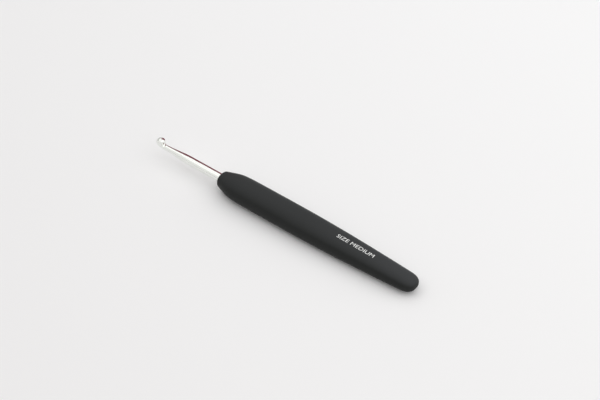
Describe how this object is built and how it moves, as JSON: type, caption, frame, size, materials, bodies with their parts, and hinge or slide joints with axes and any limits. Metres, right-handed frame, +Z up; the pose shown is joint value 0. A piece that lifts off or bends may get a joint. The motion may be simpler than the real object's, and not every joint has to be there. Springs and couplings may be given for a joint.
{
  "type": "crochet hook",
  "caption": "Crochet hook: polished aluminium shank with a tapered neck, throat and rounded head, set in a long tapering oval soft-touch handle that rests on a flat in its belly.",
  "frame": {"origin": "centre of the bounding box's underside, in the plane of the belly flat that the hook lies on", "axes": "+X from the hook's tip towards the butt of the grip, +Z up out of the throat and the grip's crown, +Y across the grip; the tool's own axis rises 0.9 degrees towards the tip, as it does at rest"},
  "size_m": [0.1382, 0.0132, 0.0096],
  "materials": {
    "polished_aluminium": "polished",
    "core_plastic": "moulded",
    "soft_touch_rubber": "matte soft-touch",
    "size_mark_ink": "pad-printed"
  },
  "bodies": {
    "root": {"hook_shaft": "polished_aluminium", "handle_core": "core_plastic", "soft_grip": "soft_touch_rubber"}
  },
  "joints": []
}
